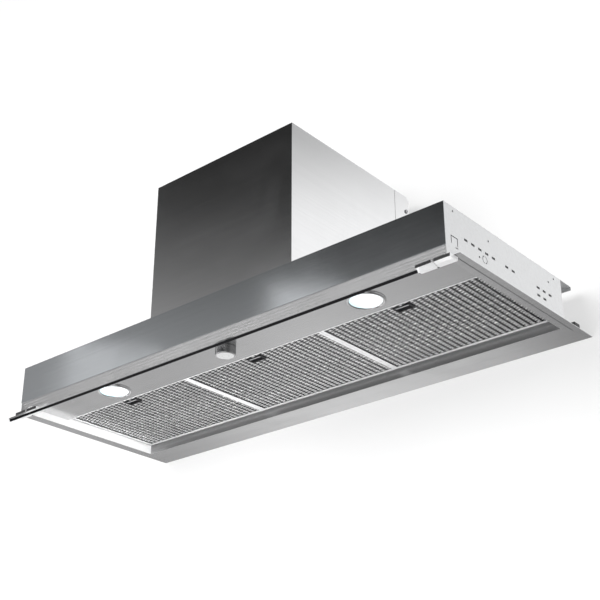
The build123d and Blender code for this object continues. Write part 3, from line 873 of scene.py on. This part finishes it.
@dataclass
class GreaseFilter:
    """One grease filter's expanded mesh: two layers of twisted strands, with painted shade on the
    strands' middles and on the inner layer.
    """

    palette: Palette
    place: str
    long_pitch: float = 0.020
    short_pitch: float = 0.0064
    strand: float = 0.00045
    hole: float = 0.70
    tilt: float = 0.0011
    twist: float = 0.3
    gauge: float = 0.00050
    shaded_strand_span: Pair = (0.3, 0.7)
    weld: float = 1e-5
    layers: tuple[Pair, ...] = ((0.0011, 0.0), (0.0045, 0.5))

    def build(self) -> None:
        """Make the mesh."""
        node = f"filter_mesh_{self.place}"
        bm = bmesh.new()
        for number, (height, shift) in enumerate(self.layers):
            self.layer(bm, height, shift, inner=number > 0)
        materials = self.palette.of(NODE_SLOT[node], "strand_middle_painted_shade", "inner_layer_painted_shade")
        add_piece(f"expanded_mesh_{self.place}", bm, node, materials, 20.0, False)

    def cell(self) -> Mesh:
        """Make one diamond of the mesh: four twisted strands about its hole, their middles marked
        for a painted shade.

        Returns:
            The diamond, flat and with no thickness.
        """
        bm = bmesh.new()
        half_long, half_short = self.long_pitch / 2, self.short_pitch / 2
        corners = ((half_long, 0.0), (0.0, half_short), (-half_long, 0.0), (0.0, -half_short))
        face = bm.faces.new([bm.verts.new((x, y, 0.0)) for x, y in corners])
        bmesh.ops.subdivide_edges(bm, edges=bm.edges[:], cuts=2)
        bmesh.ops.inset_region(bm, faces=[face], thickness=self.strand, depth=0.0,
                               use_boundary=True, use_even_offset=True)
        for vert in face.verts:
            share = max(-1.0, min(1.0, vert.co.y / (half_short * self.twist)))
            vert.co.z = self.tilt / 2 * share
            vert.co.x *= self.hole
        bmesh.ops.delete(bm, geom=[face], context="FACES_ONLY")
        # The middle of each strand takes a darker copy of the aluminium: painted shade that leaves
        # only the knuckles bright.
        first, last = self.shaded_strand_span
        for strand in bm.faces:
            if half_long * first < abs(strand.calc_center_median().x) < half_long * last:
                strand.material_index = 1
        return bm

    def repeat(self, bm: Mesh, moves: Iterable[Point]) -> None:
        """Copy a whole mesh by each move and join what meets.

        Args:
            bm: the mesh.
            moves: how far each copy is from the first, in metres.
        """
        first = bm.verts[:] + bm.edges[:] + bm.faces[:]
        for move in moves:
            copy = bmesh.ops.duplicate(bm, geom=first)["geom"]
            verts = [item for item in copy if isinstance(item, bmesh.types.BMVert)]
            bmesh.ops.translate(bm, verts=verts, vec=move)
        bmesh.ops.remove_doubles(bm, verts=bm.verts[:], dist=self.weld)

    def layer(self, target: Mesh, height: float, shift: float, inner: bool) -> None:
        """Add one trimmed layer of mesh.

        Args:
            target: the mesh that it is added to.
            height: its height above the node's lowest point.
            shift: how far it is moved along both pitches, as a share of them.
            inner: whether it is the layer behind the outer one, which takes a painted shade.
        """
        low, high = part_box(f"filter_mesh_{self.place}")
        pocket_low, pocket_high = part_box(f"latch_pocket_{self.place}")
        half_long, half_short = self.long_pitch / 2, self.short_pitch / 2
        rows = int((high.y - low.y) / self.short_pitch) + 3
        columns = int((high.x - low.x) / half_long) + 4
        bm = self.cell()
        self.repeat(bm, ((0.0, row * self.short_pitch, 0.0) for row in range(1, rows)))
        self.repeat(bm, ((column * half_long, column % 2 * half_short, 0.0)
                         for column in range(1, columns)))
        start = Vector((low.x - self.long_pitch * (1 - shift),
                        low.y - self.short_pitch * (1 - shift), low.z + height))
        bmesh.ops.translate(bm, verts=bm.verts[:], vec=start)
        self.cut(bm, low, high, True)
        self.cut(bm, pocket_low, pocket_high, False)
        inside = [face for face in bm.faces
                  if self.within(face.calc_center_median(), pocket_low, pocket_high)]
        bmesh.ops.delete(bm, geom=inside, context="FACES")
        bmesh.ops.solidify(bm, geom=bm.faces[:], thickness=self.gauge)
        bmesh.ops.recalc_face_normals(bm, faces=bm.faces[:])
        # The inner layer takes a near-black copy of the aluminium: painted shade in the holes.
        for face in bm.faces:
            face.material_index = 2 if inner else face.material_index
        scrap = bpy.data.meshes.new("mesh_layer")
        bm.to_mesh(scrap)
        bm.free()
        target.from_mesh(scrap)
        bpy.data.meshes.remove(scrap)

    @staticmethod
    def within(point: Vector, low: Vector, high: Vector) -> bool:
        """Whether a point is inside a box, seen from below."""
        return low.x < point.x < high.x and low.y < point.y < high.y

    @staticmethod
    def cut(bm: Mesh, low: Vector, high: Vector, trim: bool) -> None:
        """Cut a layer along the four upright sides of a box.

        Args:
            bm: the layer.
            low: the box's lowest corner.
            high: its highest corner.
            trim: whether what is outside the box is removed.
        """
        sides = ((low, (-1, 0, 0)), (low, (0, -1, 0)), (high, (1, 0, 0)), (high, (0, 1, 0)))
        for corner, normal in sides:
            bmesh.ops.bisect_plane(bm, geom=bm.verts[:] + bm.edges[:] + bm.faces[:], dist=1e-6,
                                   plane_co=corner, plane_no=normal, clear_outer=trim)


@dataclass
class ReturnSpring:
    """A latch's leaf spring."""

    palette: Palette
    place: str

    def build(self) -> None:
        """Make the spring and give it its own mesh."""
        node = f"latch_spring_{self.place}"
        spring = add_piece(f"return_spring_{self.place}", merged_copy(node), node,
                           self.palette.of(NODE_SLOT[node]))
        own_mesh(spring)


# ---- the studio ---------------------------------------------------------------------------
@dataclass(frozen=True)
class Reflector:
    """A glowing card under the object, with a tone that changes along its width."""

    name: str
    depth: Pair
    tones: tuple[Pair, ...]


@dataclass(frozen=True)
class Softbox:
    """A square lamp that faces a point; a mirrored one shows in polished faces."""

    name: str
    place: Point
    aim: Point
    size: float
    power: float
    mirrored: bool = False


@dataclass
class Studio:
    """Floor, backdrop, sky, lamps and camera."""

    floor_height: float = -2.6
    floor_side: float = 24.0
    card_height: float = -1.25
    backdrop_gap: float = 0.0015
    backdrop_middle: float = 0.6
    backdrop_size: Pair = (9.0, 3.8)
    camera_place: Point = (1.1684, -1.4705, -0.7168)
    camera_heading: float = 40.698
    camera_rise: float = 25.881
    camera_lens: float = 72.11
    camera_sensor: float = 36.0
    sky_tint: Colour = (0.995, 0.998, 1.0)
    front_sky: tuple[Pair, ...] = (
        (0.0, 0.12), (0.38, 0.12), (0.5, 0.60), (0.64, 0.44), (0.70, 0.40), (0.715, 0.26),
        (0.73, 0.15), (0.75, 0.05), (0.77, 0.022), (0.84, 0.02), (0.90, 0.30), (1.0, 0.85))
    back_sky: tuple[Pair, ...] = (
        (0.0, 0.20), (0.40, 0.28), (0.5, 0.80), (0.70, 1.10), (0.735, 1.32), (0.75, 1.22),
        (0.76, 0.99), (0.77, 0.72), (0.78, 0.50), (0.86, 0.40), (1.0, 0.85))
    reflectors: tuple[Reflector, ...] = (
        Reflector("panel_card", (0.9, 2.1), (
            (-3.6, 0.35), (-3.2, 0.50), (-2.85, 0.95), (-2.45, 0.50), (-2.05, 0.55),
            (-1.65, 0.72), (-1.25, 0.60), (-0.90, 0.50), (-0.5, 0.38))),
        Reflector("rear_card", (2.1, 3.6), (
            (-3.6, 0.25), (-3.2, 0.32), (-2.85, 0.65), (-2.45, 0.88), (-2.05, 1.05),
            (-1.65, 0.75), (-1.25, 0.80), (-0.95, 0.30), (-0.5, 0.20))),
        Reflector("mesh_card", (-0.85, 0.7), (
            (-2.4, 1.3), (-1.85, 1.1), (-1.65, 0.2), (-1.5, 0.1), (-1.3, 0.9), (-1.05, 1.1),
            (-0.85, 0.2), (-0.6, 0.05), (-0.4, 0.5), (-0.2, 0.8), (0.0, 0.05), (0.5, 0.03))),
        Reflector("rib_card", (-2.6, -0.9), ((-3.0, 0.95), (-1.5, 1.0), (0.0, 1.1), (1.5, 1.0))),
    )
    softboxes: tuple[Softbox, ...] = (
        Softbox("key_light", (-0.6, -3.4, 0.75), (0.1, 0.0, 0.0), 1.8, 130.0),
        Softbox("side_fill", (2.2, 1.6, -0.3), (-0.3, -0.1, 0.0), 1.2, 9.0),
        Softbox("low_fill", (2.3, -0.5, -0.9), (-0.4, -0.15, 0.02), 0.8, 26.0),
        Softbox("underside_left", (-0.20, -0.18, -0.30), (-0.44, -0.15, 0.01), 0.1, 1.1),
        Softbox("underside_right", (0.12, -0.30, -0.55), (0.13, -0.15, 0.0), 0.2, 1.4),
        Softbox("front_fill", (-0.85, -0.8, -0.45), (-0.40, 0.0, 0.02), 0.3, 1.6),
        Softbox("card_right", (-0.38, -1.03, 0.39), (0.2, -0.37, 0.02), 0.17, 0.065, True),
        Softbox("card_left", (-1.04, -1.03, 0.40), (-0.23, -0.37, 0.02), 0.24, 0.080, True),
    )

    def build(self) -> None:
        """Make everything around the object."""
        bpy.context.scene.view_settings.view_transform = "Standard"
        self.sky()
        self.floor()
        self.backdrop()
        for softbox in self.softboxes:
            self.lamp(softbox)
        for reflector in self.reflectors:
            self.card(reflector)
        self.camera()

    def sky(self) -> None:
        """World light: a soft sky that is darker high up in front and bright behind."""
        world = bpy.data.worlds.new("studio_sky")
        world.use_nodes = True
        bpy.context.scene.world = world
        graph = Graph(world.node_tree)
        direction = graph.add("SeparateXYZ", {0: graph.add("TexCoord").outputs["Generated"]})
        rise = graph.remap(direction.outputs["Z"], -1.0, 1.0)
        behind = graph.remap(direction.outputs["Y"], -0.15, 0.25)
        front, back = graph.ramp(rise, self.front_sky), graph.ramp(rise, self.back_sky)
        tinted = graph.blend(1.0, graph.blend(behind, front, back), rgba(self.sky_tint), "MULTIPLY")
        soft = graph.feed(graph.find("BACKGROUND"), {"Color": tinted, "Strength": 1.0})
        plain = graph.add("Background", {"Color": WHITE, "Strength": 1.0})
        seen = graph.add("LightPath").outputs["Is Camera Ray"]
        mix = graph.add("MixShader", {0: seen, 1: soft.outputs[0], 2: plain.outputs[0]})
        graph.feed(graph.find("OUTPUT_WORLD"), {"Surface": mix.outputs[0]})

    @staticmethod
    def sheet(size: Pair, matrix: Matrix, material: Material,
              hidden_from: Sequence[str]) -> bpy.types.Object:
        """Make a flat staged sheet.

        Args:
            size: its width and depth.
            matrix: where it stands.
            material: its material, which it is named after.
            hidden_from: the kinds of ray that pass it by.

        Returns:
            The sheet.
        """
        bm = bmesh.new()
        bmesh.ops.create_grid(bm, x_segments=1, y_segments=1, size=0.5)
        bmesh.ops.scale(bm, vec=(*size, 1.0), verts=bm.verts[:])
        bmesh.ops.transform(bm, matrix=matrix, verts=bm.verts[:])
        mesh = bpy.data.meshes.new(material.name)
        bm.to_mesh(mesh)
        bm.free()
        mesh.materials.append(material)
        staged = bpy.data.objects.new(material.name, mesh)
        bpy.context.scene.collection.objects.link(staged)
        for ray in hidden_from:
            setattr(staged, f"visible_{ray}", False)
        return staged

    def floor(self) -> None:
        """Plain pale floor."""
        material, graph = new_material("studio_floor")
        place = graph.add("TexCoord").outputs["Object"]
        patches = graph.add("TexNoise", {"Vector": place, "Scale": 1.2}).outputs["Fac"]
        graph.feed(graph.find("BSDF_PRINCIPLED"), {
            "Base Color": graph.blend(patches, rgba((0.80, 0.80, 0.80)), rgba((0.84, 0.84, 0.84))),
            "Roughness": 0.9,
            "Emission Color": WHITE,
            "Emission Strength": 0.25,
        })
        matrix = Matrix.Translation((0.0, 0.0, self.floor_height))
        self.sheet((self.floor_side, self.floor_side), matrix, material, ["glossy"])

    def backdrop(self) -> None:
        """White wall just behind the rim that takes its soft shadow and is open from behind."""
        material, graph = new_material("studio_backdrop")
        graph.tree.nodes.remove(graph.find("BSDF_PRINCIPLED"))
        matt = graph.add("BsdfDiffuse", {"Color": rgba((0.35, 0.35, 0.35))})
        glow = graph.add("Emission", {"Color": WHITE, "Strength": 0.55})
        both = graph.add("AddShader", {0: matt.outputs[0], 1: glow.outputs[0]})
        clear = graph.add("BsdfTransparent")
        behind = graph.add("NewGeometry").outputs["Backfacing"]
        mix = graph.add("MixShader", {0: behind, 1: both.outputs[0], 2: clear.outputs[0]})
        graph.feed(graph.find("OUTPUT_MATERIAL"), {"Surface": mix.outputs[0]})
        centre = (0.0, CAD_BOX[1].y + self.backdrop_gap, self.backdrop_middle)
        matrix = Matrix.Translation(centre) @ Matrix.Rotation(math.pi / 2, 4, "X")
        hidden = ("glossy", "diffuse", "shadow", "transmission")
        self.sheet(self.backdrop_size, matrix, material, hidden)

    @staticmethod
    def lamp(softbox: Softbox) -> None:
        """Make one square area light.

        Args:
            softbox: what it is like.
        """
        data = bpy.data.lights.new(softbox.name, "AREA")
        data.size = softbox.size
        data.energy = softbox.power
        lamp = bpy.data.objects.new(softbox.name, data)
        lamp.location = softbox.place
        lamp.rotation_mode = "QUATERNION"
        look = Vector(softbox.aim) - Vector(softbox.place)
        lamp.rotation_quaternion = look.to_track_quat("-Z", "Y")
        lamp.visible_glossy = softbox.mirrored
        lamp.visible_camera = False
        bpy.context.scene.collection.objects.link(lamp)

    def card(self, reflector: Reflector) -> None:
        """Make a soft reflector, seen only in the object's polished faces.

        Args:
            reflector: what it is like.
        """
        left, right = reflector.tones[0][0], reflector.tones[-1][0]
        near, far = reflector.depth
        width = right - left
        material, graph = new_material(reflector.name)
        graph.tree.nodes.remove(graph.find("BSDF_PRINCIPLED"))
        along = graph.add("SeparateXYZ", {0: graph.add("TexCoord").outputs["Object"]}).outputs["X"]
        stops = [((x - left) / width, tone) for x, tone in reflector.tones]
        grey = graph.ramp(graph.remap(along, left, right), stops)
        glow = graph.add("Emission", {"Color": grey, "Strength": 1.0}).outputs[0]
        graph.feed(graph.find("OUTPUT_MATERIAL"), {"Surface": glow})
        matrix = Matrix.Translation(((left + right) / 2, (near + far) / 2, self.card_height))
        hidden = ("camera", "diffuse", "shadow", "transmission")
        self.sheet((width, far - near), matrix, material, hidden)

    def camera(self) -> None:
        """Camera below and to the right, looking up at the underside."""
        data = bpy.data.cameras.new("main_camera")
        data.lens = self.camera_lens
        data.sensor_width = self.camera_sensor
        data.clip_start, data.clip_end = 0.01, 100.0
        camera = bpy.data.objects.new("main_camera", data)
        heading, rise = math.radians(self.camera_heading), math.radians(self.camera_rise)
        look = Vector((-math.sin(heading) * math.cos(rise), math.cos(heading) * math.cos(rise),
                       math.sin(rise)))
        camera.location = self.camera_place
        camera.rotation_mode = "QUATERNION"
        camera.rotation_quaternion = look.to_track_quat("-Z", "Y")
        bpy.context.scene.collection.objects.link(camera)
        bpy.context.scene.camera = camera


# ---- putting it together ------------------------------------------------------------------
SIDES = ("left", "right")
PLACES = ("left", "centre", "right")
FOLD = 0.00025
ROUNDED: dict[str, float] = {
    "canopy_top": FOLD, "front_fascia": FOLD, "back_panel": FOLD, "rim_frame": FOLD,
    "light_panel": FOLD, "front_profile": 0.0001, "filter_rear_ledge": FOLD,
    "tower_front_cover": 0.0003, "tower_rear_cover": 0.0003, "tower_top_plate": FOLD,
    "tower_frame": FOLD, "rear_spacers": 0.0005, "visor_plate": 0.0002, "terminal_box": 0.0006,
    "lamp_driver": 0.0005, "rotary_switch": 0.0006, "duct_collar": 0.0005,
    "cable_gland": 0.0003, "motor_capacitor": 0.0006,
    **{f"{stem}_{side}": width for side in SIDES for stem, width in (
        ("side_panel", 0.0002), ("visor_cheek", 0.0003), ("hinge_bracket", 0.0004))},
    **{f"{stem}_{place}": 0.0002 for place in PLACES
       for stem in ("filter_frame", "latch_pocket", "filter_latch")},
}


def main() -> None:
    """Build every sub-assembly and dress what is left."""
    logging.basicConfig(level=logging.INFO, format="%(name)s %(message)s")
    palette = Palette()
    Folded(palette, ROUNDED).build()
    for side in SIDES:
        LampHead(palette, side).build()
    ControlKnob(palette).build()
    for place in PLACES:
        GreaseFilter(palette, place).build()
        ReturnSpring(palette, place).build()
    palette.dress(name for name, node in frame["nodes"].items() if not node.hide_render)
    Studio().build()


if __name__ == "__main__":
    main()
